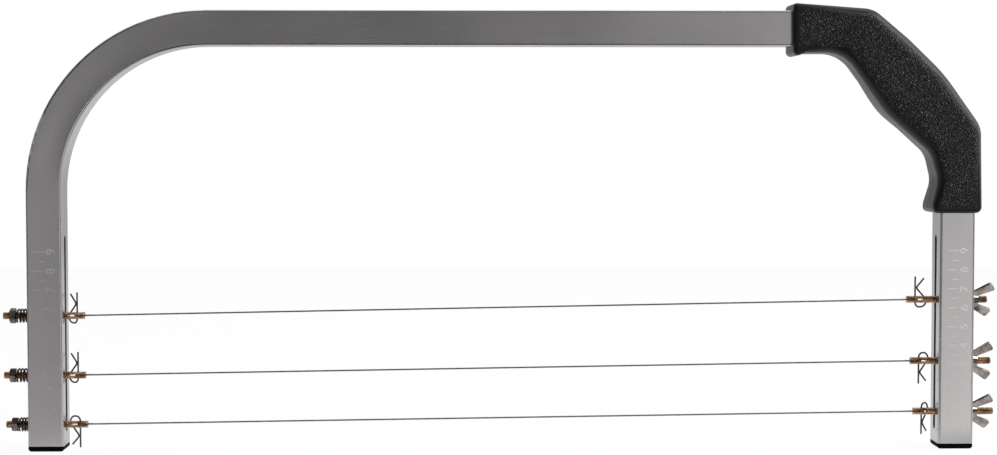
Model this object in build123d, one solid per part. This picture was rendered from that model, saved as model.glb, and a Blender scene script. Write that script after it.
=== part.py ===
from build123d import *
import os
from math import atan2, cos, degrees, hypot, pi, radians, sin, sqrt, tan

# Cake leveler: a bow of square aluminium tube that stands on its two legs, with a moulded
# handle over the right bend and three tensioned wires between the legs.
# Millimetres. X runs from leg to leg with the handle at +X, the user sees the -Y face,
# Z is up and Z = 0 is the table that both feet stand on.

# Bow of square tube
frame_width = 496.0
frame_height = 230.2
tube_width = 18.5
tube_wall = 1.5
tube_corner_radius = 1.3
tube_bore_corner_radius = 0.4
bend_radius = 84.9
end_break = 0.4

# Height slots through both walls of both legs
slot_width = 4.3
slot_bottom = 9.5
slot_top = 112.6

# Plastic plugs that the legs stand on
plug_flange = 2.4
plug_chamfer = 1.0
plug_insert = 5.6
plug_wall = 1.3
plug_fin_height = 0.9
plug_fin_pitch = 2.2
plug_fin_count = 2
plug_fin_gap = 0.05
plug_core_inset = 0.7

# Threaded rods with a forked inner end
rod_diameter = 4.0
rod_length = 42.6
rod_end_break = 0.4
fork_gap = 1.35
fork_depth = 16.0
pin_hole_diameter = 1.4
left_pin_inset = 4.0
right_pin_inset = 4.6
thread_clearance = 0.05

# Height of each rod above the table, left and right leg
top_left_height = 70.6
top_right_height = 78.3
middle_left_height = 39.2
middle_right_height = 45.7
bottom_left_height = 13.2
bottom_right_height = 18.8

# Springs behind the left leg, each as long as its nut leaves it
spring_wire = 0.95
spring_outer_diameter = 7.6
spring_turns = 3.75
spring_seat_gap = 0.05
top_spring_length = 7.1
middle_spring_length = 7.3
bottom_spring_length = 6.5

# Hexagon nuts that hold the springs, and the rod that shows beyond them
nut_across_flats = 7.0
nut_height = 3.4
nut_edge_break = 0.45
nut_edge_reach = 0.9
top_left_stub = 3.5
middle_left_stub = 3.1
bottom_left_stub = 3.0
top_nut_turn = 47.0
middle_nut_turn = 30.0
bottom_nut_turn = 20.0

# How far each right rod's forked end stands out of the leg's inner wall
top_right_reach = 15.4
middle_right_reach = 13.2
bottom_right_reach = 11.5

# Wing nuts outside the right leg
wing_span = 22.6
wing_height = 12.2
wing_thickness = 2.1
wing_edge_radius = 0.45
wing_tip_radius = 1.1
hub_base_diameter = 8.4
hub_top_diameter = 6.8
hub_height = 3.6
wing_seat_gap = 0.05
wing_root_gap = 0.3
wing_heel_share = 0.42
wing_shoulder_share = 0.61
wing_tip_height_share = 0.77
top_wing_turn = 34.0
middle_wing_turn = 20.0
bottom_wing_turn = 30.0

# Spring clips that pin the wire eyes into the forks
clip_wire = 0.9
clip_leg_length = 12.2
clip_loop_drop = 4.5
clip_loop_width = 7.2
clip_leg_radius = 2.6
clip_loop_radius = 3.5
clip_knee_drop = 0.2
clip_knee_radius = 2.4
clip_waist_gap = 0.6
clip_waist_height = 6.2
clip_waist_radius = 1.2
clip_tail_spread = 5.6
clip_tail_height = 11.0
top_left_clip_turn = 43.0
middle_left_clip_turn = 41.0
bottom_left_clip_turn = 34.0
top_right_clip_turn = 24.0
middle_right_clip_turn = 35.0
bottom_right_clip_turn = 50.0

# Cutting wires with a looped eye at both ends
wire_diameter = 0.85
eye_bore = 1.4
eye_tail_length = 6.0
eye_tail_offset_share = 0.85

# Handle: two moulded shells over the right bend
handle_bar_reach = 97.0
handle_leg_drop = 105.7
diagonal_cover = 4.1
diagonal_angle = 37.3
belly_cover = 12.4
belly_angle = 36.0
handle_depth = 28.0
handle_rim_radius = 4.8
handle_wall = 2.4
handle_face_wall = 4.5
handle_fit = 0.15
bar_end_cover = 3.9
bar_shoulder_cover = 1.1
leg_outer_cover = 2.8
leg_waist_cover = 1.7
leg_elbow_cover = 4.8
leg_flare_cover = 4.9
bar_belly_cover = 3.6
bar_lip_cover = 5.4
shoulder_radius = 14.0
diagonal_radius = 90.0
end_corner_radius = 2.4
flare_radius = 5.0
waist_radius = 14.0
elbow_radius = 12.0
belly_radius = 45.0
finger_radius = 18.0
corner_run_share = 0.49

# Handle outline: corners over the bend as shares of the bend's outer or inner radius,
# the lip as a share of the reach, and the leg end as shares of its height below the elbow
shoulder_run_share = 0.405
outer_elbow_rise_share = 0.346
elbow_rise_share = 0.266
finger_run_share = 0.316
lip_reach_share = 0.907
waist_rise_share = 0.575
flare_rise_share = 0.185

# Handle screws, driven from the back
screw_diameter = 2.9
screw_length = 15.0
screw_head_diameter = 5.4
screw_head_height = 2.0
screw_head_edge = 0.9
screw_point = 0.7
screw_recess_width = 0.8
screw_recess_length = 3.0
screw_recess_depth = 1.1
screw_sink = 1.2
screw_fit = 0.1
boss_wall = 1.4
boss_clearance = 0.6
boss_angles = (22.0, 45.0, 68.0)

# Running past a face that is cut away
overrun = 2.0

# Places that follow from the sizes above
leg_x = (frame_width - tube_width) / 2
bar_z = frame_height - tube_width / 2
tube_bore = tube_width - 2 * tube_wall
leg_outer_x = frame_width / 2
leg_inner_x = leg_outer_x - tube_width
bend_centre_x = leg_x - bend_radius
bend_centre_z = bar_z - bend_radius
outer_bend_radius = bend_radius + tube_width / 2
inner_bend_radius = bend_radius - tube_width / 2

levels = {
    "top": {
        "left_height": top_left_height,
        "right_height": top_right_height,
        "spring": top_spring_length,
        "stub": top_left_stub,
        "reach": top_right_reach,
        "nut_turn": top_nut_turn,
        "wing_turn": top_wing_turn,
        "left_clip": (top_left_clip_turn, 1),
        "right_clip": (top_right_clip_turn, 1),
    },
    "middle": {
        "left_height": middle_left_height,
        "right_height": middle_right_height,
        "spring": middle_spring_length,
        "stub": middle_left_stub,
        "reach": middle_right_reach,
        "nut_turn": middle_nut_turn,
        "wing_turn": middle_wing_turn,
        "left_clip": (middle_left_clip_turn, 1),
        "right_clip": (middle_right_clip_turn, -1),
    },
    "bottom": {
        "left_height": bottom_left_height,
        "right_height": bottom_right_height,
        "spring": bottom_spring_length,
        "stub": bottom_left_stub,
        "reach": bottom_right_reach,
        "nut_turn": bottom_nut_turn,
        "wing_turn": bottom_wing_turn,
        "left_clip": (bottom_left_clip_turn, -1),
        "right_clip": (bottom_right_clip_turn, -1),
    },
}


def left_tip_x(level):
    """Outer end of a left rod."""
    return -(leg_outer_x + level["spring"] + nut_height + level["stub"])


def right_tip_x(level):
    """Outer end of a right rod."""
    return leg_inner_x - level["reach"] + rod_length


# The origin is under the middle of everything, rods included.
left_reach = max(-left_tip_x(level) for level in levels.values())
right_reach = max(
    max(right_tip_x(level) for level in levels.values()),
    leg_outer_x + wing_seat_gap + wing_height,
)
centre_shift = (left_reach - right_reach) / 2


def bow_line():
    """Centre line of the tube, from the left foot over both bends to the right foot."""
    return FilletPolyline(
        (-leg_x, 0, plug_flange),
        (-leg_x, 0, bar_z),
        (leg_x, 0, bar_z),
        (leg_x, 0, plug_flange),
        radius=bend_radius,
    )


def square_sweep(width, corner_radius):
    """A square bar of the given width, bent along the bow."""
    foot = Plane(origin=(-leg_x, 0, plug_flange), z_dir=(0, 0, 1))
    return sweep(foot * RectangleRounded(width, width, corner_radius), path=bow_line())


def frame_tube():
    """The bent tube with its four height slots."""
    tube = square_sweep(tube_width, tube_corner_radius)
    foot_edges = tube.faces().sort_by(Axis.Z)[:2].edges()
    tube = chamfer(foot_edges, end_break)
    tube -= square_sweep(tube_bore, tube_bore_corner_radius)
    slot_length = slot_top - slot_bottom
    slot_middle = (slot_top + slot_bottom) / 2
    for side in (-1, 1):
        wall = Plane(origin=(side * leg_x, 0, slot_middle), x_dir=(0, 0, 1), z_dir=(1, 0, 0))
        slot = wall * SlotOverall(slot_length, slot_width)
        tube -= extrude(slot, amount=tube_width / 2 + overrun, both=True)
    return tube


def end_plug(side):
    """A foot plug: a chamfered flange under the leg and a finned cup inside it."""
    flange = extrude(RectangleRounded(tube_width, tube_width, tube_corner_radius), amount=plug_flange)
    flange = chamfer(flange.faces().sort_by(Axis.Z)[0].edges(), plug_chamfer)
    core_width = tube_bore - 2 * plug_core_inset
    top_of_flange = Pos(0, 0, plug_flange)
    core = top_of_flange * extrude(Rectangle(core_width, core_width), amount=plug_insert)
    fin_width = tube_bore - 2 * plug_fin_gap
    fin = extrude(RectangleRounded(fin_width, fin_width, plug_core_inset), amount=plug_fin_height)
    plug = flange + core
    for step in range(plug_fin_count):
        plug += Pos(0, 0, plug_flange + plug_fin_height + step * plug_fin_pitch) * fin
    cup_width = core_width - 2 * plug_wall
    cup = extrude(Rectangle(cup_width, cup_width), amount=plug_insert + overrun)
    plug -= top_of_flange * cup
    return Pos(side * leg_x, 0, 0) * plug


def forked_rod(tip_x, height, side):
    """A threaded rod along X: chamfered outer end, forked inner end with a pin hole.

    tip_x is the outer end and side is the leg that the rod goes through.
    """
    along = Plane(origin=(0, 0, 0), z_dir=(1, 0, 0))
    rod = extrude(along * Circle(rod_diameter / 2), amount=rod_length)
    rod = chamfer(rod.faces().sort_by(Axis.X)[-1].edges(), rod_end_break)
    gap = Box(fork_depth + overrun, rod_diameter + overrun, fork_gap)
    rod -= Pos((fork_depth - overrun) / 2, 0, 0) * gap
    inset = left_pin_inset if side < 0 else right_pin_inset
    rod -= Pos(inset, 0, 0) * Cylinder(pin_hole_diameter / 2, rod_diameter + overrun)
    if side < 0:
        rod = Rot(0, 0, 180) * rod
    inner_x = tip_x - side * rod_length
    return Pos(inner_x, 0, height) * rod


def biarc(start, start_way, end, end_way):
    """Two tangent arcs from start to end that leave and arrive along the given ways."""
    chord = end - start
    ways = start_way + end_way
    turn = 2 * (1 - start_way.dot(end_way))
    reach = (sqrt(chord.dot(ways) ** 2 + turn * chord.dot(chord)) - chord.dot(ways)) / turn
    first_corner = start + start_way * reach
    second_corner = end - end_way * reach
    joint = (first_corner + second_corner) / 2
    joint_way = (second_corner - first_corner).normalized()
    return [
        TangentArc(start, joint, tangent=start_way),
        TangentArc(joint, end, tangent=joint_way),
    ]


def tension_spring(level):
    """An open helical spring between the left leg's outer wall and its nut."""
    radius = (spring_outer_diameter - spring_wire) / 2
    axial_length = level["spring"] - spring_wire - 2 * spring_seat_gap
    rise = axial_length / (2 * pi * spring_turns)
    start_x = -(leg_outer_x + spring_seat_gap + spring_wire / 2)
    way_length = hypot(radius, rise)

    def place(angle):
        return Vector(start_x - rise * angle, radius * cos(angle), radius * sin(angle))

    def way(angle):
        return Vector(-rise, -radius * sin(angle), radius * cos(angle)) / way_length

    half_turns = int(2 * spring_turns)
    angles = [pi * step for step in range(half_turns + 1)]
    if 2 * spring_turns > half_turns:
        angles.append(2 * pi * spring_turns)
    arcs = []
    for start, end in zip(angles, angles[1:]):
        arcs += biarc(place(start), way(start), place(end), way(end))
    coil_line = Wire([arc.edge() for arc in arcs])
    section = Plane(origin=place(0), z_dir=way(0)) * Circle(spring_wire / 2)
    spring = sweep(section, path=coil_line)
    print("spring of", level["spring"], "mm, least gap between turns:", round(turn_gap(coil_line), 3), "mm")
    return Pos(0, 0, level["left_height"]) * spring


def turn_gap(coil_line):
    """Least clear distance between one turn of a spring and another, on sampled points."""
    samples_per_turn = 24
    count = int(samples_per_turn * spring_turns)
    points = [coil_line.position_at(step / count) for step in range(count + 1)]
    apart = samples_per_turn // 2
    nearest = min(
        (points[i] - points[j]).length
        for i in range(len(points))
        for j in range(i + apart, len(points))
    )
    return nearest - spring_wire


def spring_nut(level):
    """A plain hexagon nut with both faces broken at the corners."""
    corner_radius = nut_across_flats / 2 / cos(radians(30))
    along = Plane(origin=(0, 0, 0), z_dir=(1, 0, 0))
    nut = extrude(along * RegularPolygon(corner_radius, 6), amount=nut_height)
    turned = extrude(along * Circle(corner_radius), amount=nut_height)
    turned = chamfer(turned.edges(), nut_edge_break, nut_edge_reach)
    nut = nut & turned
    bore = Circle(rod_diameter / 2 + thread_clearance)
    nut -= extrude(along * bore, amount=nut_height + overrun, both=True)
    nut = Rot(level["nut_turn"], 0, 0) * nut
    outer_x = -(leg_outer_x + level["spring"] + nut_height)
    return Pos(outer_x, 0, level["left_height"]) * nut


def wing_nut(level):
    """A cast wing nut: a tapered hub and two flat blades that lean outwards."""
    hub = Plane(origin=(0, 0, 0), z_dir=(1, 0, 0)) * extrude(
        Circle(hub_base_diameter / 2), amount=hub_height,
        taper=degrees(atan2((hub_base_diameter - hub_top_diameter) / 2, hub_height)),
    )
    tip = wing_span / 2
    inner_root = hub_top_diameter / 2 - wing_edge_radius
    outline = Polyline(
        (wing_root_gap, inner_root),
        (wing_root_gap, wing_heel_share * tip),
        (wing_tip_height_share * wing_height, tip),
        (wing_height, wing_shoulder_share * tip),
        (hub_height - wing_root_gap, inner_root),
        close=True,
    )
    blade_face = make_face(outline)
    tips = blade_face.vertices().sort_by(Axis.Y)[-2:]
    blade_face = fillet(tips, wing_tip_radius)
    face_plane = Plane(origin=(0, 0, 0), x_dir=(1, 0, 0), z_dir=(0, -1, 0))
    blade = extrude(face_plane * blade_face, amount=wing_thickness / 2, both=True)
    sides = blade.faces().filter_by(Axis.Y)
    blade = fillet(sides.edges(), wing_edge_radius)
    nut = hub + blade + Rot(180, 0, 0) * blade
    bore = Cylinder(rod_diameter / 2 + thread_clearance, 2 * wing_height)
    nut -= Rot(0, 90, 0) * bore
    nut = Rot(level["wing_turn"], 0, 0) * nut
    return Pos(leg_outer_x + wing_seat_gap, 0, level["right_height"]) * nut


def pin_place(level, side):
    """Where a rod's pin hole meets its axis."""
    if side < 0:
        inner_x = left_tip_x(level) + rod_length
        return Vector(inner_x - left_pin_inset, 0, level["left_height"])
    inner_x = right_tip_x(level) - rod_length
    return Vector(inner_x + right_pin_inset, 0, level["right_height"])


def spring_clip(level, side):
    """A clip of round wire: a straight leg through the fork, a loop and a flared leg."""
    turn, upright = level["left_clip"] if side < 0 else level["right_clip"]
    line = FilletPolyline(
        (0, clip_leg_length),
        (0, -clip_loop_drop + clip_wire / 2),
        (clip_loop_width, -clip_loop_drop + clip_wire / 2),
        (clip_loop_width, -clip_knee_drop),
        (clip_waist_gap, clip_waist_height),
        (clip_tail_spread, clip_tail_height),
        radius=(clip_leg_radius, clip_loop_radius, clip_knee_radius, clip_waist_radius),
    )
    start = Plane(origin=(0, clip_leg_length, 0), z_dir=(0, -1, 0))
    clip = sweep(start * Circle(clip_wire / 2), path=line)
    across = Vector(side * cos(radians(turn)), sin(radians(turn)), 0)
    up = Vector(0, 0, upright)
    seat = Plane(origin=pin_place(level, side), x_dir=across, z_dir=across.cross(up))
    return seat * clip


def cutting_wire(level):
    """A straight wire with a flat looped eye at each end, around the clips' legs."""
    start = pin_place(level, -1)
    end = pin_place(level, 1)
    span = end - start
    ring_radius = (eye_bore + wire_diameter) / 2
    along = Plane(origin=(0, 0, 0), z_dir=(1, 0, 0))
    shank = extrude(along * Circle(wire_diameter / 2), amount=span.length - 2 * ring_radius)
    wire = Pos(ring_radius, 0, 0) * shank
    tail = extrude(along * Circle(wire_diameter / 2), amount=eye_tail_length)
    ring = Torus(ring_radius, wire_diameter / 2)
    beside = eye_tail_offset_share * wire_diameter
    wire += ring
    wire += Pos(ring_radius, beside, 0) * tail
    wire += Pos(span.length, 0, 0) * ring
    wire += Pos(span.length - ring_radius - eye_tail_length, beside, 0) * tail
    seat = Plane(origin=start, x_dir=span, z_dir=span.cross(Vector(0, 1, 0)))
    return seat * wire


def round_bend(distance, angle):
    """A point at a distance from the right bend's centre, at an angle up from the leg."""
    x = bend_centre_x + distance * cos(radians(angle))
    z = bend_centre_z + distance * sin(radians(angle))
    return x, z


def fitted_radius(before, corner, after, radius):
    """The radius of a rounded corner, no larger than the two runs beside it leave room for."""
    arriving = Vector(*corner) - Vector(*before)
    leaving = Vector(*after) - Vector(*corner)
    half_turn = radians(arriving.get_angle(leaving)) / 2
    room = corner_run_share * min(arriving.length, leaving.length) / tan(half_turn)
    return min(radius, room)


def handle_outline():
    """The handle's side view, drawn once round its outside and back along its grip."""
    bar_end_x = leg_outer_x - handle_bar_reach
    leg_end_z = frame_height - handle_leg_drop
    shoulder_x = bend_centre_x + shoulder_run_share * outer_bend_radius
    finger_x = bend_centre_x + finger_run_share * inner_bend_radius
    lip_x = leg_outer_x - lip_reach_share * handle_bar_reach
    outer_elbow_z = bend_centre_z + outer_elbow_rise_share * outer_bend_radius
    elbow_z = bend_centre_z + elbow_rise_share * inner_bend_radius
    waist_z = leg_end_z + waist_rise_share * (elbow_z - leg_end_z)
    flare_z = leg_end_z + flare_rise_share * (elbow_z - leg_end_z)
    bar_bottom_z = frame_height - tube_width
    corners = (
        ((bar_end_x, frame_height + bar_end_cover), end_corner_radius),
        ((shoulder_x, frame_height + bar_shoulder_cover), shoulder_radius),
        (round_bend(outer_bend_radius + diagonal_cover, diagonal_angle), diagonal_radius),
        ((leg_outer_x + leg_outer_cover, outer_elbow_z), shoulder_radius),
        ((leg_outer_x + leg_outer_cover, leg_end_z), end_corner_radius),
        ((leg_inner_x - leg_flare_cover, leg_end_z), end_corner_radius),
        ((leg_inner_x - leg_flare_cover, flare_z), flare_radius),
        ((leg_inner_x - leg_waist_cover, waist_z), waist_radius),
        ((leg_inner_x - leg_elbow_cover, elbow_z), elbow_radius),
        (round_bend(inner_bend_radius - belly_cover, belly_angle), belly_radius),
        ((finger_x, bar_bottom_z - bar_belly_cover), finger_radius),
        ((lip_x, bar_bottom_z - bar_belly_cover), flare_radius),
        ((bar_end_x, bar_bottom_z - bar_lip_cover), end_corner_radius),
    )
    points = [point for point, _ in corners]
    neighbours = zip(points[-1:] + points[:-1], points, points[1:] + points[:1], corners)
    radii = [fitted_radius(*places, radius) for *places, (_, radius) in neighbours]
    return make_face(FilletPolyline(*points, radius=radii, close=True))


def boss_places():
    """Centres of the screw bosses: inside the bend, and outside it on both sides."""
    boss_radius = screw_diameter / 2 + boss_wall
    outside = outer_bend_radius + handle_fit + boss_clearance + boss_radius
    inside = inner_bend_radius - handle_fit - boss_clearance - boss_radius - boss_wall
    distances = (outside, inside, outside)
    return [round_bend(distance, angle) for distance, angle in zip(distances, boss_angles)]


def handle_shell(side):
    """One half of the handle: side -1 is the front half, 1 the back half."""
    side_view = Plane(origin=(0, 0, 0), x_dir=(1, 0, 0), z_dir=(0, -1, 0))
    half = handle_depth / 2
    outline = side_view * handle_outline()
    shell = extrude(outline, amount=-side * half)
    rim = shell.faces().filter_by(Axis.Y).sort_by(Axis.Y)[0 if side < 0 else -1]
    shell = fillet(rim.edges(), handle_rim_radius)
    boss_radius = screw_diameter / 2 + boss_wall
    pocket_face = side_view * offset(handle_outline(), amount=-handle_wall)
    pocket = extrude(pocket_face, amount=-side * (half - handle_face_wall))
    pocket -= square_sweep(tube_width + 2 * (handle_fit + handle_wall), tube_corner_radius)
    for x, z in boss_places():
        boss = Cylinder(boss_radius, handle_depth)
        pocket -= Pos(x, 0, z) * Rot(90, 0, 0) * boss
    shell -= pocket
    shell -= square_sweep(tube_width + 2 * handle_fit, tube_corner_radius + handle_fit)
    for x, z in boss_places():
        place = Pos(x, 0, z) * Rot(90, 0, 0)
        if side < 0:
            depth = screw_length - (half - screw_sink - screw_head_height) + screw_fit
            hole = Cylinder((screw_diameter + screw_fit) / 2, 2 * depth)
        else:
            hole = Cylinder(screw_diameter / 2 + screw_fit, handle_depth + overrun)
            sink_depth = screw_sink + screw_head_height
            sink = Cylinder(screw_head_diameter / 2 + screw_fit, 2 * sink_depth)
            shell -= Pos(x, half, z) * Rot(90, 0, 0) * sink
        shell -= place * hole
    return shell


def handle_screws():
    """Pan-head screws with a cross recess, heads sunk into the back shell."""
    head_top = handle_depth / 2 - screw_sink
    head = Cylinder(screw_head_diameter / 2, screw_head_height, align=(Align.CENTER, Align.CENTER, Align.MAX))
    head = fillet(head.faces().sort_by(Axis.Z)[-1].edges(), screw_head_edge)
    shank = Cylinder(screw_diameter / 2, screw_length, align=(Align.CENTER, Align.CENTER, Align.MAX))
    shank = chamfer(shank.faces().sort_by(Axis.Z)[0].edges(), screw_point)
    screw = head + Pos(0, 0, -screw_head_height) * shank
    for turn in (0, 90):
        blade = Box(screw_recess_length, screw_recess_width, 2 * screw_recess_depth)
        screw -= Rot(0, 0, turn) * blade
    screws = []
    for x, z in boss_places():
        screws.append(Pos(x, head_top, z) * Rot(-90, 0, 0) * screw)
    return screws


def save(node, shape):
    """Write one piece, or one group of like pieces, in the shared frame."""
    solids = shape if isinstance(shape, list) else [shape]
    bodies = []
    for item in solids:
        bodies += item.solids()
    placed = Pos(centre_shift, 0, 0) * Compound(bodies)
    export_step(placed, f"parts/{node}.step")


os.makedirs("parts", exist_ok=True)
save("frame_tube", frame_tube())
save("left_end_plug", end_plug(-1))
save("right_end_plug", end_plug(1))
save("handle_front_shell", handle_shell(-1))
save("handle_back_shell", handle_shell(1))
save("handle_screws", handle_screws())
for name, level in levels.items():
    save(f"{name}_left_rod", forked_rod(left_tip_x(level), level["left_height"], -1))
    save(f"{name}_right_rod", forked_rod(right_tip_x(level), level["right_height"], 1))
    save(f"{name}_spring", tension_spring(level))
    save(f"{name}_spring_nut", spring_nut(level))
    save(f"{name}_wing_nut", wing_nut(level))
    save(f"{name}_left_clip", spring_clip(level, -1))
    save(f"{name}_right_clip", spring_clip(level, 1))
    save(f"{name}_cutting_wire", cutting_wire(level))
print("origin shift along X:", round(centre_shift, 3), "mm")
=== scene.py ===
import math

import bmesh
import bpy
from mathutils import Matrix, Vector


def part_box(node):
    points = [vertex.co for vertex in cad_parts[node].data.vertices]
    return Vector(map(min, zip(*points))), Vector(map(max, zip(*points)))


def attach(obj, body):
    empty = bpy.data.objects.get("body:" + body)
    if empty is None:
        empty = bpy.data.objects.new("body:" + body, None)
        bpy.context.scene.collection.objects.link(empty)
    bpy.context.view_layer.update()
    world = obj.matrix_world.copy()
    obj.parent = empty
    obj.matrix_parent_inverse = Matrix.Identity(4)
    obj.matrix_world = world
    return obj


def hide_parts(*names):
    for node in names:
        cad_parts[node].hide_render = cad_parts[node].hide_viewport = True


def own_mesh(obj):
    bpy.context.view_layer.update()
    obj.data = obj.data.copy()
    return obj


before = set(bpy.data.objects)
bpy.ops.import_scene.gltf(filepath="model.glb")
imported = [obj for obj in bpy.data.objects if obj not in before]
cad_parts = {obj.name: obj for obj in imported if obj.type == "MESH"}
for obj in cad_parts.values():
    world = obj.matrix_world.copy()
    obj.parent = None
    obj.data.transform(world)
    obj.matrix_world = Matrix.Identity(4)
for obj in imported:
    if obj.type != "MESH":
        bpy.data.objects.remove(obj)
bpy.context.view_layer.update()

# Cake leveler: materials, threads, springs and the leg scales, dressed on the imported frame.
# Settings are in millimetres and degrees, and mm turns them into Blender's metres.

mm = 0.001
levels = ("top", "middle", "bottom")
tubeLow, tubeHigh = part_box("frame_tube")
tubeWidth = tubeHigh.y - tubeLow.y
tubeMiddle = (tubeLow.x + tubeHigh.x) / 2
bow = {"bendRadius": 84.9 * mm}
bendCentreX = (tubeHigh.x - tubeLow.x - tubeWidth) / 2 - bow["bendRadius"]
bendCentreZ = tubeHigh.z - tubeWidth / 2 - bow["bendRadius"]
print("frame loaded:", len(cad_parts), "nodes")


class Wire:
    # one output socket, so that node maths reads as a plain expression
    def __init__(self, graph, socket):
        self.graph = graph
        self.socket = socket

    def out(self, name):
        return Wire(self.graph, self.socket.node.outputs[name])

    def maths(self, operation, *values):
        return self.graph.node("ShaderNodeMath", {"operation": operation}, dict(enumerate(values)))

    def __add__(self, other):
        return self.maths("ADD", self, other)

    def __radd__(self, other):
        return self.maths("ADD", other, self)

    def __sub__(self, other):
        return self.maths("SUBTRACT", self, other)

    def __rsub__(self, other):
        return self.maths("SUBTRACT", other, self)

    def __mul__(self, other):
        return self.maths("MULTIPLY", self, other)

    def __rmul__(self, other):
        return self.maths("MULTIPLY", other, self)

    def __truediv__(self, other):
        return self.maths("DIVIDE", self, other)

    def __abs__(self):
        return self.maths("ABSOLUTE", self)

    def atLeast(self, other):
        return self.maths("MAXIMUM", self, other)

    def atMost(self, other):
        return self.maths("MINIMUM", self, other)


class Graph:
    # a node tree that is built through one method
    def __init__(self, tree):
        self.tree = tree

    def node(self, kind, settings=None, sockets=None, output=0):
        made = self.tree.nodes.new(kind)
        for name, value in (settings or {}).items():
            setattr(made, name, value)
        for key, value in (sockets or {}).items():
            if isinstance(value, Wire):
                self.tree.links.new(value.socket, made.inputs[key])
            else:
                made.inputs[key].default_value = value
        return Wire(self, made.outputs[output] if len(made.outputs) else None)

    def objectPlace(self):
        return self.node("ShaderNodeTexCoord", output="Object")

    def split(self, vector):
        parts = self.node("ShaderNodeSeparateXYZ", sockets={0: vector})
        return parts.out("X"), parts.out("Y"), parts.out("Z")

    def join(self, x, y, z):
        return self.node("ShaderNodeCombineXYZ", sockets={0: x, 1: y, 2: z})

    def noise(self, vector, scale, detail, roughness=0.5):
        sockets = {"Vector": vector, "Scale": scale, "Detail": detail, "Roughness": roughness}
        return self.node("ShaderNodeTexNoise", sockets=sockets)

    def remap(self, value, low, high, toLow=0.0, toHigh=1.0, smooth=True):
        # from low..high to toLow..toHigh, held at both ends
        settings = {"interpolation_type": "SMOOTHSTEP" if smooth else "LINEAR"}
        sockets = {0: value, 1: low, 2: high, 3: toLow, 4: toHigh}
        return self.node("ShaderNodeMapRange", settings, sockets)

    def blendColour(self, share, first, second):
        sockets = {0: share, 6: first, 7: second}
        return self.node("ShaderNodeMix", {"data_type": "RGBA"}, sockets, output=2)

    def squareRoot(self, value):
        return self.node("ShaderNodeMath", {"operation": "SQRT"}, {0: value})

    def bump(self, height, distance, normal=None):
        sockets = {"Height": height, "Distance": distance, "Strength": 1.0}
        if normal:
            sockets["Normal"] = normal
        return self.node("ShaderNodeBump", sockets=sockets)

    def surface(self, sockets):
        shader = self.node("ShaderNodeBsdfPrincipled", sockets=sockets)
        self.node("ShaderNodeOutputMaterial", sockets={"Surface": shader})


def newMaterial(name):
    material = bpy.data.materials.new(name)
    material.use_nodes = True
    material.node_tree.nodes.clear()
    return material, Graph(material.node_tree)


def colour(tone):
    return (*tone, 1.0)


# Materials

def satinAluminium():
    # drawn tube, its fine lines following the bow round both bends
    look = {
        "tone": (0.50, 0.482, 0.482), "paleTone": (0.56, 0.54, 0.54), "deepBelow": 0.35, "paleAbove": 0.65,
        "lineScale": 1500.0, "lineStretch": 0.012, "lineDepth": 0.0003 * mm, "lineTone": 0.2,
        "cloudScale": 16.0, "cloudTone": 0.8, "detail": 3.0,
        "roughness": 0.27, "lineRoughness": 0.02, "cloudRoughness": 0.05,
        "bendCrown": 4.5, "crownShift": 2.0 * mm, "crownRunIn": 30 * mm,
    }
    material, g = newMaterial("satinAluminium")
    x, y, z = g.split(g.objectPlace())
    aside = (abs(x - tubeMiddle) - bendCentreX).atLeast(0.0)
    rise = (z - bendCentreZ).atLeast(0.0)
    across = g.squareRoot(aside * aside + rise * rise)
    lines = g.noise(g.join(across, y, (x + z) * look["lineStretch"]), look["lineScale"], look["detail"])
    cloud = g.noise(g.objectPlace(), look["cloudScale"], look["detail"])
    tones = lines * look["lineTone"] + cloud * look["cloudTone"]
    share = g.remap(tones, look["deepBelow"], look["paleAbove"])
    # the bending left the faces a little crowned between the inner and the outer side of the bend
    off = across - (bow["bendRadius"] - look["crownShift"])
    turned = g.remap(aside.atMost(rise), 0.0, look["crownRunIn"])
    crown = off * off * turned * -look["bendCrown"]      # a height in metres, so its bump's distance is 1
    rough = (lines - 0.5) * look["lineRoughness"] + (cloud - 0.5) * look["cloudRoughness"]
    g.surface({
        "Base Color": g.blendColour(share, colour(look["tone"]), colour(look["paleTone"])),
        "Metallic": 1.0,
        "Roughness": look["roughness"] + rough,
        "Normal": g.bump(lines, look["lineDepth"], g.bump(crown, 1.0)),
    })
    return material


def etchedMark():
    # the scale, etched paler and duller than the tube, turning to near the tube's tone towards the feet,
    # and higher up on the left leg
    look = {
        "tone": (0.96, 0.94, 0.95), "fadeAndGlintTone": (0.53, 0.515, 0.515),
        "roughness": 0.40, "fadedRoughness": 0.27,
        "fadedHeight": 12 * mm, "crispHeight": 92 * mm, "leftFade": 44 * mm, "leftSide": -100 * mm,
        "grainScale": 4000.0, "grainDetail": 2.0, "patchHeight": 20 * mm,
    }
    material, g = newMaterial("etchedMark")
    x, y, z = g.split(g.objectPlace())
    grain = g.noise(g.objectPlace(), look["grainScale"], look["grainDetail"])
    height = z - g.remap(x, 0.0, look["leftSide"]) * look["leftFade"]
    pale = g.remap(height + (grain - 0.5) * look["patchHeight"], look["fadedHeight"], look["crispHeight"])
    g.surface({
        "Base Color": g.blendColour(pale, colour(look["fadeAndGlintTone"]), colour(look["tone"])),
        "Metallic": 1.0,
        "Roughness": look["fadedRoughness"] + pale * (look["roughness"] - look["fadedRoughness"]),
    })
    return material


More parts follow.
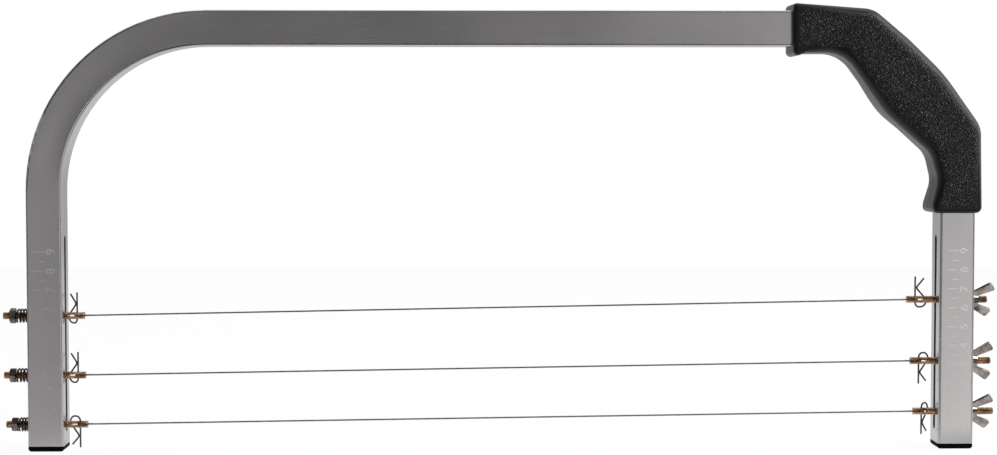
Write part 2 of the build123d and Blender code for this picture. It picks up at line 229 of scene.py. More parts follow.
# The handle's sizes, for its grain here and its moulding further down
handleShape = {
    # corners of the side view: X from the tube's right face, Z from its top, the corner's radius,
    # and how far the rim is rounded beside it
    "corners": (
        (-97.2, 3.8, 2.0, 2.2), (-54.6, 0.9, 14.0, 6.0),
        (-35.8, -14.4, 90.0, 8.0), (-16.3, -33.3, 90.0, 8.0),
        (2.6, -60.8, 14.0, 6.0), (2.6, -105.7, 3.2, 2.6),
        (-23.1, -105.7, 3.2, 2.6), (-23.1, -100.8, 5.0, 3.4),
        (-19.9, -88.9, 14.0, 5.5), (-23.7, -74.6, 14.0, 7.0),
        (-47.0, -53.9, 45.0, 9.0), (-69.9, -22.1, 19.0, 7.0),
        (-90.2, -22.1, 5.0, 3.4), (-97.0, -24.6, 3.2, 2.6),
    ),
    "depth": 28.0, "step": 0.9, "cornerRoom": 0.49, "cornerSteps": 3, "smoothUnder": 30,
    "rimSteps": 9, "rimPasses": 40, "rimGrowth": 1.6, "partingWidth": 0.06, "partingDepth": 0.16,
    "fit": 0.15, "tubeCorner": 0.9, "tubeCornerSteps": 3, "runOut": 8.0, "bendStep": 1.5,
    "screwAngles": (22.0, 45.0, 68.0), "screwOuter": 97.75, "screwInner": 70.65,
    "screwHole": 3.1, "screwHoleEnd": -4.6, "sinkWidth": 5.6, "sinkFloor": 10.8, "wellSides": 32,
    "wellRim": 2.6, "wellReach": 6.5, "wellSlope": 0.5, "plainBorder": 2.3, "borderBlend": 2.2,
}


def edgeDistance(g, x, z):
    # distance from the nearest side of the handle's outline, whatever the depth
    points = [(tubeHigh.x + a * mm, tubeHigh.z + b * mm) for a, b, _, _ in handleShape["corners"]]
    nearest = None
    for (ax, az), (bx, bz) in zip(points, points[1:] + points[:1]):
        runX, runZ = bx - ax, bz - az
        squared = runX * runX + runZ * runZ
        along = ((x - ax) * (runX / squared) + (z - az) * (runZ / squared)).atLeast(0.0).atMost(1.0)
        offX = x - ax - along * runX
        offZ = z - az - along * runZ
        away = offX * offX + offZ * offZ
        nearest = away if nearest is None else nearest.atMost(away)
    return g.squareRoot(nearest)


def leatherGrainPlastic():
    # black moulding: pebbled over the flats, plain along its borders and rounded rims, its pebble tops
    # painted paler in patches as a painted highlight
    look = {
        "tone": (0.012, 0.0117, 0.0117), "fadeAndGlintTone": (0.140, 0.137, 0.136),
        "glintFrom": 0.38, "glintTo": 0.66, "lowPebble": 0.55, "pebbleSpread": 0.9,
        "pebble": 1.20 * mm, "crease": 0.45, "grainDepth": 1.10 * mm,
        "warpScale": 700.0, "warpAlong": 0.5 * mm, "warpUp": 0.4 * mm,
        "unevenScale": 900.0, "fineScale": 2600.0, "fineShare": 0.05, "detail": 2.0,
        "plainFacing": 0.72, "grainedFacing": 0.97, "roughness": 0.17, "plainRoughness": 0.34, "ior": 1.37,
    }
    material, g = newMaterial("leatherGrainPlastic")
    place = g.objectPlace()
    x, y, z = g.split(place)
    border = edgeDistance(g, x, z)
    start = handleShape["plainBorder"] * mm
    inner = g.remap(border, start, start + handleShape["borderBlend"] * mm)
    normal = g.node("ShaderNodeNewGeometry", output="Normal")
    facing = abs(g.split(normal)[1])
    grained = inner * g.remap(facing, look["plainFacing"], look["grainedFacing"])
    warp = g.noise(place, look["warpScale"], 1.0) - 0.5
    warped = g.join(x + warp * look["warpAlong"], y, z + warp * look["warpUp"])
    cells = {"feature": "DISTANCE_TO_EDGE"}
    edge = g.node("ShaderNodeTexVoronoi", cells, {"Vector": warped, "Scale": 1 / look["pebble"]})
    pebbles = g.remap(edge, 0.0, look["crease"])
    fine = g.noise(place, look["fineScale"], look["detail"])
    uneven = g.noise(place, look["unevenScale"], look["detail"])
    pebbleHeight = look["lowPebble"] + uneven * look["pebbleSpread"]
    height = pebbles * pebbleHeight * grained + fine * look["fineShare"]
    # painted highlight: pebble tops made paler in uneven patches, standing in for the glints on the grain
    paintedGlint = pebbles * grained * g.remap(uneven, look["glintFrom"], look["glintTo"])
    g.surface({
        "Base Color": g.blendColour(paintedGlint, colour(look["tone"]), colour(look["fadeAndGlintTone"])),
        "Roughness": look["plainRoughness"] + grained * (look["roughness"] - look["plainRoughness"]),
        "Normal": g.bump(height, look["grainDepth"]),
        "IOR": look["ior"],
    })
    return material


def plugPlastic():
    # dull black plastic with a fine speck
    look = {
        "tone": (0.002, 0.002, 0.002), "paleTone": (0.004, 0.004, 0.004), "roughness": 0.60, "ior": 1.12,
        "speckScale": 1800.0, "speckDetail": 3.0, "speckRoughness": 0.15, "speckDepth": 0.015 * mm,
    }
    material, g = newMaterial("plugPlastic")
    speck = g.noise(g.objectPlace(), look["speckScale"], look["speckDetail"])
    g.surface({
        "Base Color": g.blendColour(speck, colour(look["tone"]), colour(look["paleTone"])),
        "Roughness": look["roughness"] + (speck - 0.5) * look["speckRoughness"],
        "Normal": g.bump(speck, look["speckDepth"]),
        "IOR": look["ior"],
    })
    return material


metalLook = {
    "cloudScale": 300.0, "cloudDetail": 3.0, "cloudBreakUp": 0.6, "deepBelow": 0.36, "paleAbove": 0.64,
    "grainScale": 3500.0, "grainDetail": 2.0, "grainDepth": 0.006 * mm,
    "grainRoughness": 0.12, "cloudRoughness": 0.08,
}


def metalFinish(name, tone, deepTone, roughness, **changes):
    # plated or bare steel: two tones in soft clouds, a fine grain in gloss and relief
    look = {**metalLook, **changes}
    material, g = newMaterial(name)
    place = g.objectPlace()
    cloud = g.noise(place, look["cloudScale"], look["cloudDetail"], look["cloudBreakUp"])
    grain = g.noise(place, look["grainScale"], look["grainDetail"])
    share = g.remap(cloud, look["deepBelow"], look["paleAbove"])
    rough = (grain - 0.5) * look["grainRoughness"] + (cloud - 0.5) * look["cloudRoughness"]
    g.surface({
        "Base Color": g.blendColour(share, colour(deepTone), colour(tone)),
        "Metallic": 1.0,
        "Roughness": roughness + rough,
        "Normal": g.bump(grain, look["grainDepth"]),
    })
    return material


finishes = {
    "tube": satinAluminium(),
    "mark": etchedMark(),
    "handle": leatherGrainPlastic(),
    "plug": plugPlastic(),
    "rod": metalFinish("yellowZinc", (0.68, 0.46, 0.27), (0.28, 0.18, 0.11), 0.24),
    "clip": metalFinish("darkClipSteel", (0.14, 0.13, 0.125), (0.07, 0.065, 0.06), 0.32),
    "spring": metalFinish("blackSpringSteel", (0.11, 0.085, 0.075), (0.035, 0.028, 0.025), 0.24),
    "springNut": metalFinish("greyZinc", (0.25, 0.215, 0.20), (0.11, 0.09, 0.08), 0.24),
    "wingNut": metalFinish("castNickel", (0.44, 0.39, 0.36), (0.24, 0.21, 0.19), 0.15,
                           cloudScale=220.0, grainScale=1600.0, grainDepth=0.015 * mm),
    "wire": metalFinish("drawnWire", (0.30, 0.30, 0.30), (0.21, 0.21, 0.21), 0.28),
    "screw": metalFinish("screwSteel", (0.42, 0.42, 0.44), (0.24, 0.24, 0.25), 0.30),
}
print("materials made:", len(finishes))


# Nodes that keep their solid's shape

finishOfNode = {
    "frame_tube": "tube", "left_end_plug": "plug", "right_end_plug": "plug", "handle_screws": "screw",
}
for level in levels:
    finishOfNode.update({
        level + "_spring_nut": "springNut", level + "_wing_nut": "wingNut",
        level + "_left_clip": "clip", level + "_right_clip": "clip", level + "_cutting_wire": "wire",
    })


def dressNode(node, finish):
    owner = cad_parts[node]
    if not owner.material_slots:
        owner.data.materials.append(None)
    for place in owner.material_slots:
        place.link = "OBJECT"
        place.material = finish


for node, finish in finishOfNode.items():
    dressNode(node, finishes[finish])
print("solids dressed:", len(finishOfNode))


# Geometry Nodes helpers

def newTree(name, inputs):
    # inputs: each one's name and socket type
    tree = bpy.data.node_groups.new(name, "GeometryNodeTree")
    tree.interface.new_socket("Geometry", in_out="OUTPUT", socket_type="NodeSocketGeometry")
    for title, kind in inputs.items():
        tree.interface.new_socket(title, in_out="INPUT", socket_type="NodeSocket" + kind)
    g = Graph(tree)
    return g, g.node("NodeGroupInput")


def closeTree(g, geometry, given):
    real = g.node("GeometryNodeRealizeInstances", sockets={"Geometry": geometry})
    painted = g.node("GeometryNodeSetMaterial", sockets={
        "Geometry": real, "Material": given.out("Material"),
    })
    g.node("NodeGroupOutput", sockets={0: painted})
    return g.tree


def joined(g, first, second):
    both = g.node("GeometryNodeJoinGeometry", sockets={0: first})
    g.tree.links.new(second.socket, both.socket.node.inputs[0])
    return both


def growPiece(name, tree, values):
    # run a tree once, with a value for each of its inputs, and keep its result as a plain mesh
    carrier = bpy.data.objects.new(name + "Carrier", bpy.data.meshes.new(name + "Carrier"))
    bpy.context.scene.collection.objects.link(carrier)
    modifier = carrier.modifiers.new("grow", "NODES")
    modifier.node_group = tree
    for item in tree.interface.items_tree:
        if item.item_type == "SOCKET" and item.in_out == "INPUT":
            modifier[item.identifier] = values[item.name]
    evaluated = carrier.evaluated_get(bpy.context.evaluated_depsgraph_get())
    mesh = bpy.data.meshes.new_from_object(evaluated)
    mesh.name = name
    bpy.data.objects.remove(carrier)
    piece = bpy.data.objects.new(name, mesh)
    bpy.context.scene.collection.objects.link(piece)
    return piece


def smoothUnder(piece, degrees):
    # smooth shading, kept sharp where faces meet at more than this
    work = bmesh.new()
    work.from_mesh(piece.data)
    limit = math.radians(degrees)
    for face in work.faces:
        face.smooth = True
    for edge in work.edges:
        edge.smooth = len(edge.link_faces) == 2 and edge.calc_face_angle(0.0) < limit
    work.to_mesh(piece.data)
    work.free()


# Threaded rods, forked at the inner end

rodShape = {
    "diameter": 4.0, "pitch": 0.7, "threadDepth": 0.38, "flankSlope": 1.25, "endBreak": 0.4,
    "forkDepth": 8.4, "forkGap": 0.93, "pinInset": {"left": 4.0, "right": 4.6}, "pinHole": 1.4,
    "sides": 28, "pinSides": 20, "stepsPerPitch": 8, "smoothUnder": 50, "overrun": 2.0,
}


def threadedRodTree():
    g, given = newTree("threadedRod", {
        "Length": "Float", "Radius": "Float", "Pitch": "Float", "Thread Depth": "Float",
        "Sides": "Int", "Rows": "Int", "End Break": "Float", "Fork Depth": "Float", "Fork Gap": "Float",
        "Pin Inset": "Float", "Pin Radius": "Float", "Overrun": "Float", "Material": "Material",
    })
    length, radius = given.out("Length"), given.out("Radius")
    blank = g.node("GeometryNodeMeshCylinder", sockets={
        "Vertices": given.out("Sides"), "Side Segments": given.out("Rows"),
        "Radius": radius, "Depth": length,
    })
    x, y, z = g.split(g.node("GeometryNodeInputPosition"))
    turn = g.node("ShaderNodeMath", {"operation": "ARCTAN2"}, {0: y, 1: x}) / (2 * math.pi)
    turns = z / given.out("Pitch") - turn + 100.0      # whole turns added, which keep the count above zero
    phase = g.node("ShaderNodeMath", {"operation": "FRACT"}, {0: turns})
    flank = (abs(phase * 2.0 - 1.0) * rodShape["flankSlope"]).atMost(1.0)
    threaded = radius - given.out("Thread Depth") * flank
    fromTip = length / 2.0 - z
    turned = threaded.atMost(radius - given.out("End Break") + fromTip)
    share = turned / radius
    moved = g.node("GeometryNodeSetPosition", sockets={
        "Geometry": blank.out("Mesh"), "Position": g.join(x * share, y * share, z),
    })
    forkEnd = length * -0.5
    wide = radius * 4.0      # both cutters reach right across the rod
    gapLength = given.out("Fork Depth") + given.out("Overrun")
    slotSize = g.join(given.out("Fork Gap"), wide, gapLength)
    slotBox = g.node("GeometryNodeMeshCube", sockets={"Size": slotSize})
    slotAt = forkEnd + (given.out("Fork Depth") - given.out("Overrun")) / 2.0
    slot = g.node("GeometryNodeTransform", sockets={
        "Geometry": slotBox.out("Mesh"), "Translation": g.join(0.0, 0.0, slotAt),
    })
    pin = g.node("GeometryNodeMeshCylinder", sockets={
        "Vertices": rodShape["pinSides"], "Radius": given.out("Pin Radius"), "Depth": wide,
    })
    drilled = g.node("GeometryNodeTransform", sockets={
        "Geometry": pin.out("Mesh"), "Rotation": (0.0, math.pi / 2, 0.0),
        "Translation": g.join(0.0, 0.0, forkEnd + given.out("Pin Inset")),
    })
    cut = g.node("GeometryNodeMeshBoolean", {"operation": "DIFFERENCE", "solver": "EXACT"}, {
        "Mesh 1": moved, "Mesh 2": joined(g, slot, drilled), "Self Intersection": True,
    })
    return closeTree(g, cut, given)


def threadedRod(node, side, tree):
    low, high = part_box(node)
    outwards = 1 if side == "right" else -1
    length = high.x - low.x
    rows = round(length / (rodShape["pitch"] * mm) * rodShape["stepsPerPitch"])
    piece = growPiece(node + "_threaded", tree, {
        "Length": length, "Radius": rodShape["diameter"] / 2 * mm, "Pitch": rodShape["pitch"] * mm,
        "Thread Depth": rodShape["threadDepth"] * mm, "Sides": rodShape["sides"], "Rows": rows,
        "End Break": rodShape["endBreak"] * mm, "Fork Depth": rodShape["forkDepth"] * mm,
        "Fork Gap": rodShape["forkGap"] * mm, "Pin Inset": rodShape["pinInset"][side] * mm,
        "Pin Radius": rodShape["pinHole"] / 2 * mm, "Overrun": rodShape["overrun"] * mm,
        "Material": finishes["rod"],
    })
    # lay it along X with the fork's gap level and its pin hole upright
    lay = Matrix.Rotation(math.radians(90 * outwards), 4, "Y")
    place = Matrix.Translation((low + high) / 2)
    piece.data.transform(place @ lay)
    smoothUnder(piece, rodShape["smoothUnder"])
    return piece


rodTree = threadedRodTree()
for level in levels:
    for side in ("left", "right"):
        node = f"{level}_{side}_rod"
        rod = threadedRod(node, side, rodTree)
        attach(rod, level + "_tension_set")
        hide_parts(node)
print("threaded rods made")


# Springs, wound as open coils in place of the solids

springShape = {
    "wire": 0.95, "turns": 3.75, "seatGap": 0.05, "travel": 1.4,
    "pointsPerTurn": 40, "sides": 14, "smoothUnder": 50,
}


def springTree():
    g, given = newTree("openSpring", {
        "Start": "Vector", "Rise": "Float", "Radius": "Float", "Wire Radius": "Float", "Turns": "Float",
        "Points": "Int", "Sides": "Int", "Material": "Material",
    })
    straight = g.node("GeometryNodeCurvePrimitiveLine")
    dotted = g.node("GeometryNodeResampleCurve", sockets={"Curve": straight, "Count": given.out("Points")})
    share = g.node("GeometryNodeSplineParameter", output="Factor")
    angle = share * given.out("Turns") * (2 * math.pi)
    cosine = g.node("ShaderNodeMath", {"operation": "COSINE"}, {0: angle})
    sine = g.node("ShaderNodeMath", {"operation": "SINE"}, {0: angle})
    startX, startY, startZ = g.split(given.out("Start"))
    radius = given.out("Radius")
    pulled = startX - share * given.out("Rise")
    wound = g.node("GeometryNodeSetPosition", sockets={
        "Geometry": dotted, "Position": g.join(pulled, startY + cosine * radius, startZ + sine * radius),
    })
    section = g.node("GeometryNodeCurvePrimitiveCircle", sockets={
        "Resolution": given.out("Sides"), "Radius": given.out("Wire Radius"),
    })
    wire = g.node("GeometryNodeCurveToMesh", sockets={
        "Curve": wound, "Profile Curve": section, "Fill Caps": True,
    })
    return closeTree(g, wire, given)


def openSpring(level, tree):
    node = level + "_spring"
    low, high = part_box(node)
    wireRadius = springShape["wire"] / 2 * mm
    legWall = tubeLow.x
    centre = (low + high) / 2
    startX = legWall - springShape["seatGap"] * mm - wireRadius
    endX = low.x + wireRadius
    piece = growPiece(node + "_wound", tree, {
        "Start": (startX, 0.0, centre.z), "Rise": startX - endX, "Turns": springShape["turns"],
        "Radius": (high.y - low.y) / 2 - wireRadius, "Wire Radius": wireRadius,
        "Points": round(springShape["turns"] * springShape["pointsPerTurn"]),
        "Sides": springShape["sides"], "Material": finishes["spring"],
    })
    smoothUnder(piece, springShape["smoothUnder"])
    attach(piece, level + "_spring_seat")
    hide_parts(node)
    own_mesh(piece)


coilTree = springTree()
for level in levels:
    openSpring(level, coilTree)
print("springs wound")


# Handle halves: rims rounded widely along the grip and tightly at the ends

def roundedOutline():
    # points round the side view, each with its rim's radius, in metres from the tube's top right corner
    corners = [(Vector((x, z)) * mm, radius * mm, rim * mm) for x, z, radius, rim in handleShape["corners"]]
    raw = []
    for index, (corner, radius, rim) in enumerate(corners):
        arriving = corner - corners[index - 1][0]
        leaving = corners[(index + 1) % len(corners)][0] - corner
        turn = arriving.angle_signed(leaving)
        room = handleShape["cornerRoom"] * min(arriving.length, leaving.length)
        radius = min(radius, room / math.tan(abs(turn) / 2))
        reach = radius * math.tan(abs(turn) / 2)
        ahead = arriving.normalized()
        side = 1 if turn > 0 else -1
        inward = Vector((ahead.y, -ahead.x)) * side
        centre = corner - ahead * reach + inward * radius
        steps = max(handleShape["cornerSteps"], round(radius * abs(turn) / (handleShape["step"] * mm)))
        for step in range(steps + 1):
            swung = inward * -radius
            swung.rotate(Matrix.Rotation(-turn * step / steps, 2))
            raw.append((centre + swung, rim))
    outline = []
    for index, (point, rim) in enumerate(raw):
        following, nextRim = raw[(index + 1) % len(raw)]
        gap = (following - point).length
        pieces = max(1, round(gap / (handleShape["step"] * mm)))
        for piece in range(pieces):
            share = piece / pieces
            outline.append((point.lerp(following, share), rim + (nextRim - rim) * share))
    return outline


def smoothedRims(outline):
    # let the rim's radius change gently from corner to corner
    rims = [rim for _, rim in outline]
    for _ in range(handleShape["rimPasses"]):
        rims = [(rims[i - 1] + rims[i] * 2 + rims[(i + 1) % len(rims)]) / 4 for i in range(len(rims))]
    return [min(rim, allowed * handleShape["rimGrowth"]) for rim, (_, allowed) in zip(rims, outline)]


def wellCentres():
    # the three screws, in the plane of the bow
    distances = (handleShape["screwOuter"], handleShape["screwInner"], handleShape["screwOuter"])
    centres = []
    for angle, distance in zip(handleShape["screwAngles"], distances):
        turn = math.radians(angle)
        x = tubeMiddle + bendCentreX + distance * mm * math.cos(turn)
        z = bendCentreZ + distance * mm * math.sin(turn)
        centres.append(Vector((x, z)))
    return centres


def narrowBesideWells(points, rims):
    # the back's rim stays narrow where a screw well is close to the edge
    centres = wellCentres()
    narrowed = []
    for point, rim in zip(points, rims):
        place = point + Vector((tubeHigh.x, tubeHigh.z))
        nearest = min((place - centre).length for centre in centres)
        spare = max(0.0, nearest - handleShape["wellReach"] * mm)
        narrowed.append(min(rim, handleShape["wellRim"] * mm + spare * handleShape["wellSlope"]))
    return narrowed


def skinRows(work, rows):
    # side faces from row to row, and one face over each end
    count = len(rows[0])
    for lower, upper in zip(rows, rows[1:]):
        for index in range(count):
            after = (index + 1) % count
            work.faces.new((lower[index], lower[after], upper[after], upper[index]))
    work.faces.new(rows[0])
    work.faces.new(rows[-1])


def meshObject(name, work):
    bmesh.ops.recalc_face_normals(work, faces=work.faces)
    mesh = bpy.data.meshes.new(name)
    work.to_mesh(mesh)
    work.free()
    made = bpy.data.objects.new(name, mesh)
    bpy.context.scene.collection.objects.link(made)
    return made


def handleBlock(side):
    # one closed half: side -1 is the front, 1 the back
    outline = roundedOutline()
    rims = smoothedRims(outline)
    points = [point for point, _ in outline]
    if side > 0:
        rims = narrowBesideWells(points, rims)
    count = len(points)
    inward = []
    for index in range(count):
        along = points[(index + 1) % count] - points[index - 1]
        along.normalize()
        inward.append(Vector((along.y, -along.x)))
    half = handleShape["depth"] / 2 * mm
    parting = handleShape["partingWidth"] * mm
    groove = handleShape["partingDepth"] * mm
    rings = [[(0.0, groove)] * count, [(parting, groove)] * count, [(parting + groove, 0.0)] * count]
    for step in range(handleShape["rimSteps"] + 1):
        angle = math.pi / 2 * step / handleShape["rimSteps"]
        rings.append([(half - rim * (1 - math.sin(angle)), rim * (1 - math.cos(angle))) for rim in rims])
    work = bmesh.new()
    rows = []
    for ring in rings:
        row = []
        for point, way, (depth, inset) in zip(points, inward, ring):
            place = point + way * inset
            row.append(work.verts.new((tubeHigh.x + place.x, side * depth, tubeHigh.z + place.y)))
        rows.append(row)
    skinRows(work, rows)
    return meshObject("handleBlock", work)


def tubeChannel():
    # the bow's square path through the handle, a little wider than the tube
    width = tubeWidth / 2 + handleShape["fit"] * mm
    corner = handleShape["tubeCorner"] * mm
    cornerSteps = handleShape["tubeCornerSteps"]
    profile = []
    for quarter in range(4):
        for step in range(cornerSteps + 1):
            angle = math.radians(90 * quarter + 90 / cornerSteps * step)
            signX = 1 if quarter in (0, 3) else -1
            signY = 1 if quarter in (0, 1) else -1
            profile.append((signX * (width - corner) + corner * math.cos(angle),
                            signY * (width - corner) + corner * math.sin(angle)))
    radius = bow["bendRadius"]
    centre = Vector((tubeMiddle + bendCentreX, 0, bendCentreZ))
    runOut = handleShape["runOut"] * mm
    lowest = min(z for _, z, _, _ in handleShape["corners"]) * mm + tubeHigh.z - runOut
    leftmost = min(x for x, _, _, _ in handleShape["corners"]) * mm + tubeHigh.x - runOut
    # along the bar, round the bend and down the leg: each place with its way out of the bend
    along, down = Vector((0, 0, 1)), Vector((1, 0, 0))
    stations = [(Vector((leftmost, 0, centre.z + radius)), along)]
    for step in range(round(90 / handleShape["bendStep"]) + 1):
        angle = math.radians(90 - handleShape["bendStep"] * step)
        outwards = Vector((math.cos(angle), 0, math.sin(angle)))
        stations.append((centre + radius * outwards, outwards))
    stations.append((Vector((centre.x + radius, 0, lowest)), down))
    work = bmesh.new()
    rows = []
    for place, outwards in stations:
        rows.append([work.verts.new(place + outwards * u + Vector((0, v, 0))) for u, v in profile])
    skinRows(work, rows)
    return meshObject("tubeChannel", work)


def screwWells():
    # stepped wells for the three screws that are driven from the back
    hole, sink = handleShape["screwHole"], handleShape["sinkWidth"]
    end, floor, beyond = handleShape["screwHoleEnd"], handleShape["sinkFloor"], handleShape["depth"]
    stations = ((end, hole), (floor, hole), (floor, sink), (beyond, sink))
    sides = handleShape["wellSides"]
    work = bmesh.new()
    for x, z in wellCentres():
        rows = []
        for depth, width in stations:
            reach = width / 2 * mm
            ring = []
            for step in range(sides):
                turn = 2 * math.pi * step / sides
                place = (x + reach * math.cos(turn), depth * mm, z + reach * math.sin(turn))
                ring.append(work.verts.new(place))
            rows.append(ring)
        skinRows(work, rows)
    return meshObject("screwWells", work)


def carve(block, cutters):
    for cutter in cutters:
        modifier = block.modifiers.new("carve", "BOOLEAN")
        modifier.operation = "DIFFERENCE"
        modifier.solver = "EXACT"
        modifier.object = cutter
    evaluated = block.evaluated_get(bpy.context.evaluated_depsgraph_get())
    mesh = bpy.data.meshes.new_from_object(evaluated)
    block.modifiers.clear()
    block.data = mesh
    mesh.materials.clear()
    return block


cutters = [tubeChannel(), screwWells()]
for side, word in ((-1, "front"), (1, "back")):
    shell = carve(handleBlock(side), cutters)
    shell.name = "handle_" + word + "_moulding"
    shell.data.name = shell.name
    shell.data.materials.append(finishes["handle"])
    smoothUnder(shell, handleShape["smoothUnder"])
    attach(shell, "frame")
    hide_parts("handle_" + word + "_shell")
for cutter in cutters:
    bpy.data.objects.remove(cutter)
print("handle halves moulded")


# Scales on the front of both legs, in centimetres up from the foot

scaleMarks = {
    "firstHeight": 24.65, "pitch": 10.0, "count": 9, "lineWidth": 0.38, "digitWidth": 2.9,
    "proud": 0.02, "sunk": 0.05, "mergeWithin": 0.0005,
    # from the left edge of each leg
    "left": {"long": (2.7, 10.0), "half": (6.8, 9.1), "digit": (10.4, 15.0)},
    "right": {"long": (4.05, 9.8), "half": (6.7, 9.8), "digit": (10.9, 15.1)},
}


def tickTree():
    g, given = newTree("legTicks", {
        "Count": "Int", "Pitch": "Float", "First": "Vector", "Half First": "Vector", "Long Size": "Vector",
        "Half Size": "Vector", "Material": "Material",
    })
    step = g.join(0.0, 0.0, given.out("Pitch"))
    rows = []
    for first, size in (("First", "Long Size"), ("Half First", "Half Size")):
        points = g.node("GeometryNodeMeshLine", sockets={
            "Count": given.out("Count"), "Start Location": given.out(first), "Offset": step,
        })
        bar = g.node("GeometryNodeMeshCube", sockets={"Size": given.out(size)})
        rows.append(g.node("GeometryNodeInstanceOnPoints", sockets={
            "Points": points, "Instance": bar.out("Mesh"),
        }))
    return closeTree(g, joined(g, *rows), given)


def figureMesh(text):
    # one figure as a flat-faced mesh, centred on its own box and 1 thick to each side
    curve = bpy.data.curves.new("figure" + text, "FONT")
    curve.body = text
    curve.extrude = 1.0
    carrier = bpy.data.objects.new("figure" + text, curve)
    bpy.context.scene.collection.objects.link(carrier)
    evaluated = carrier.evaluated_get(bpy.context.evaluated_depsgraph_get())
    mesh = bpy.data.meshes.new_from_object(evaluated)
    bpy.data.objects.remove(carrier)
    xs = [v.co.x for v in mesh.vertices]
    ys = [v.co.y for v in mesh.vertices]
    mesh.transform(Matrix.Translation((-(min(xs) + max(xs)) / 2, -(min(ys) + max(ys)) / 2, 0)))
    return mesh, max(xs) - min(xs), max(ys) - min(ys)


def digitMesh(text, centre, width, height, depth):
    # a figure turned to read up the leg, its top towards -X, scaled as the widest one is
    wide, widest, tallest = figureMesh("8")
    bpy.data.meshes.remove(wide)
    mesh = figureMesh(text)[0]
    mesh.transform(Matrix.Diagonal((width / widest, height / tallest, depth / 2, 1)))
    # text X goes up the leg, text Y towards -X, and its face towards -Y
    turned = Matrix(((0, -1, 0, 0), (0, 0, -1, 0), (1, 0, 0, 0), (0, 0, 0, 1)))
    mesh.transform(Matrix.Translation(centre) @ turned)
    return mesh


def legScale(side, tree):
    marks = scaleMarks[side]
    edge = tubeLow.x if side == "left" else tubeHigh.x - tubeWidth
    face = -tubeWidth / 2
    depth = (scaleMarks["proud"] + scaleMarks["sunk"]) * mm
    middleY = face + depth / 2 - scaleMarks["proud"] * mm
    lineWidth = scaleMarks["lineWidth"] * mm
    longMiddle = edge + sum(marks["long"]) / 2 * mm
    halfMiddle = edge + sum(marks["half"]) / 2 * mm
    firstZ = scaleMarks["firstHeight"] * mm
    pitch = scaleMarks["pitch"] * mm
    ticks = growPiece(side + "_leg_ticks", tree, {
        "Count": scaleMarks["count"], "Pitch": pitch, "First": (longMiddle, middleY, firstZ),
        "Half First": (halfMiddle, middleY, firstZ - pitch / 2),
        "Long Size": ((marks["long"][1] - marks["long"][0]) * mm, depth, lineWidth),
        "Half Size": ((marks["half"][1] - marks["half"][0]) * mm, depth, lineWidth),
        "Material": finishes["mark"],
    })
    work = bmesh.new()
    near, far = marks["digit"]
    for number in range(1, scaleMarks["count"] + 1):
        centre = (edge + (near + far) / 2 * mm, middleY, firstZ + (number - 1) * pitch)
        mesh = digitMesh(str(number), centre, scaleMarks["digitWidth"] * mm, (far - near) * mm, depth)
        work.from_mesh(mesh)
        bpy.data.meshes.remove(mesh)
    figures = bpy.data.meshes.new(side + "_leg_figures")
    bmesh.ops.remove_doubles(work, verts=work.verts, dist=scaleMarks["mergeWithin"] * mm)
    bmesh.ops.recalc_face_normals(work, faces=work.faces)
    work.to_mesh(figures)
    work.free()
    figures.materials.append(finishes["mark"])
    digits = bpy.data.objects.new(side + "_leg_figures", figures)
    bpy.context.scene.collection.objects.link(digits)
    for piece in (ticks, digits):
        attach(piece, "frame")


markTree = tickTree()
for side in ("left", "right"):
    legScale(side, markTree)
print("leg scales made")


# Floor, backdrop and lights

# How far the floor reaches, in metres, its paint, and how much white the camera and the metal see there
floorLook = {
    "side": 0.75, "front": 0.055, "back": 1.4, "tone": 0.80, "cameraShare": 0.90, "cameraGlow": 1.04,
    "mirrored": 0.60,
}


def stageWhite():
    # plain pale paint that the camera and mirrors see as near white, shadows kept
    material, g = newMaterial("stageWhite")
    paint = g.node("ShaderNodeBsdfDiffuse", sockets={"Color": colour((floorLook["tone"],) * 3)})
    glow = g.node("ShaderNodeEmission", sockets={
        "Color": colour((1, 1, 1)), "Strength": floorLook["cameraGlow"],
    })
    path = g.node("ShaderNodeLightPath")
    mirrored = path.out("Is Glossy Ray") * floorLook["mirrored"]
    seen = path.out("Is Camera Ray").atLeast(path.out("Is Transmission Ray")).atLeast(mirrored)
    share = seen * floorLook["cameraShare"]
    mixed = g.node("ShaderNodeMixShader", sockets={0: share, 1: paint, 2: glow})
    g.node("ShaderNodeOutputMaterial", sockets={"Surface": mixed})
    return material


def stageSheet(name, corners, material):
    mesh = bpy.data.meshes.new(name)
    mesh.from_pydata(corners, [], [(0, 1, 2, 3)])
    mesh.materials.append(material)
    sheet = bpy.data.objects.new(name, mesh)
    bpy.context.scene.collection.objects.link(sheet)


side, front, back = floorLook["side"], floorLook["front"], floorLook["back"]
floorCorners = [(-side, -front, 0), (side, -front, 0), (side, back, 0), (-side, back, 0)]
stageSheet("floor", floorCorners, stageWhite())


# Strengths, and the spans of X, Y or Z in the direction of view over which each fades in or out
skyLook = {
    "roomLeft": 0.34, "roomLeftSpan": (-0.19, -0.08), "roomRight": 0.80, "roomRightSpan": (-0.05, 0.30),
    "tableLeft": 1.35, "tableLeftSpan": (-0.26, -0.14), "tableRight": 2.1, "tableRightSpan": (0.09, 0.30),
    "tableTop": (-0.16, -0.02), "ceiling": 0.20, "ceilingSpan": (0.22, 0.60),
    "sideSpan": (0.32, 0.56), "sideShare": 0.25, "belowSpan": (-0.46, -0.24), "belowShare": 0.2,
    "backdrop": 0.20, "backdropSpan": (-0.20, 0.35), "mirrored": 0.42,
}


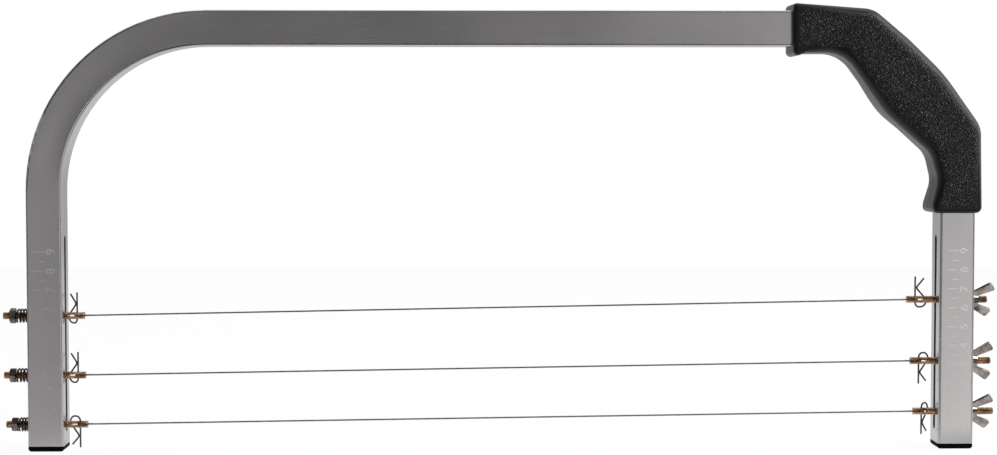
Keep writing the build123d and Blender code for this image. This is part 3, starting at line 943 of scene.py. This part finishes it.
def studioSky():
    # white behind the bow, and in front of it a dim room between a pale table and a pale ceiling
    world = bpy.data.worlds.new("studio")
    bpy.context.scene.world = world
    world.use_nodes = True
    world.node_tree.nodes.clear()
    g = Graph(world.node_tree)
    x, y, z = g.split(g.node("ShaderNodeTexCoord", output="Generated"))
    roomLeft = g.remap(x, *skyLook["roomLeftSpan"], skyLook["roomLeft"], 0.0)
    room = roomLeft + g.remap(x, *skyLook["roomRightSpan"], 0.0, skyLook["roomRight"], False)
    tableRight = g.remap(x, *skyLook["tableRightSpan"], 0.0, skyLook["tableRight"])
    table = tableRight + g.remap(x, *skyLook["tableLeftSpan"], skyLook["tableLeft"], 0.0)
    level = table + g.remap(z, *skyLook["tableTop"]) * (room - table)
    level = level + g.remap(z, *skyLook["ceilingSpan"]) * (skyLook["ceiling"] - level)
    # the room's pale walls end a little beyond what the legs mirror
    sides = g.remap(abs(x), *skyLook["sideSpan"], 1.0, skyLook["sideShare"])
    level = level * sides * g.remap(z, *skyLook["belowSpan"], skyLook["belowShare"], 1.0)
    behind = g.remap(y, *skyLook["backdropSpan"])
    level = level + behind * (skyLook["backdrop"] - level)
    shade = g.node("ShaderNodeBackground", sockets={"Color": colour((1, 1, 1)), "Strength": level})
    white = g.node("ShaderNodeBackground", sockets={"Color": colour((1, 1, 1)), "Strength": 1.0})
    path = g.node("ShaderNodeLightPath")
    bounced = path.out("Is Glossy Ray").atLeast(path.out("Is Diffuse Ray"))
    mirrored = behind * bounced * skyLook["mirrored"]
    seen = path.out("Is Camera Ray").atLeast(path.out("Is Transmission Ray")).atLeast(mirrored)
    mixed = g.node("ShaderNodeMixShader", sockets={0: seen, 1: shade, 2: white})
    g.node("ShaderNodeOutputWorld", sockets={"Surface": mixed})


# Lamps, in metres and watts
softboxes = {
    "topBox": {"place": (0.1, 0.55, 1.5), "target": (0.0, 0.0, 0.1), "size": (1.8, 0.9), "power": 5.5},
    "rightBox": {"place": (1.35, 0.25, 0.66), "target": (0.2, 0.0, 0.12), "size": (0.7, 1.1), "power": 6.0},
    "keyBox": {"place": (1.0, -0.42, 1.0), "target": (0.2, 0.0, 0.18), "size": (0.7, 0.7), "power": 9.0},
}


def softbox(name, place, target, size, power):
    lamp = bpy.data.lights.new(name, "AREA")
    lamp.shape = "RECTANGLE"
    lamp.size, lamp.size_y = size
    lamp.energy = power
    holder = bpy.data.objects.new(name, lamp)
    holder.location = place
    holder.rotation_euler = (Vector(target) - Vector(place)).to_track_quat("-Z", "Y").to_euler()
    bpy.context.scene.collection.objects.link(holder)


studioSky()
for name, settings in softboxes.items():
    softbox(name, **settings)
print("stage and lights set")


# Camera, at the photograph's place

cameraView = {
    "place": (-24.2, -1060.0, 167.6), "yaw": 1.235, "tilt": -2.75, "focalPixels": 2015.6,
    "imageWidth": 997, "sensor": 36.0, "nearest": 10.0,
}
lens = bpy.data.cameras.new("camera")
lens.sensor_fit = "HORIZONTAL"
lens.sensor_width = cameraView["sensor"]
lens.lens = cameraView["focalPixels"] * cameraView["sensor"] / cameraView["imageWidth"]
lens.clip_start = cameraView["nearest"] * mm
camera = bpy.data.objects.new("camera", lens)
camera.location = [value * mm for value in cameraView["place"]]
yaw = math.radians(cameraView["yaw"])
tilt = math.radians(cameraView["tilt"])
aim = Vector((math.sin(yaw) * math.cos(tilt), math.cos(yaw) * math.cos(tilt), math.sin(tilt)))
camera.rotation_euler = aim.to_track_quat("-Z", "Y").to_euler()
bpy.context.scene.collection.objects.link(camera)
bpy.context.scene.camera = camera
bpy.context.scene.view_settings.view_transform = "Standard"
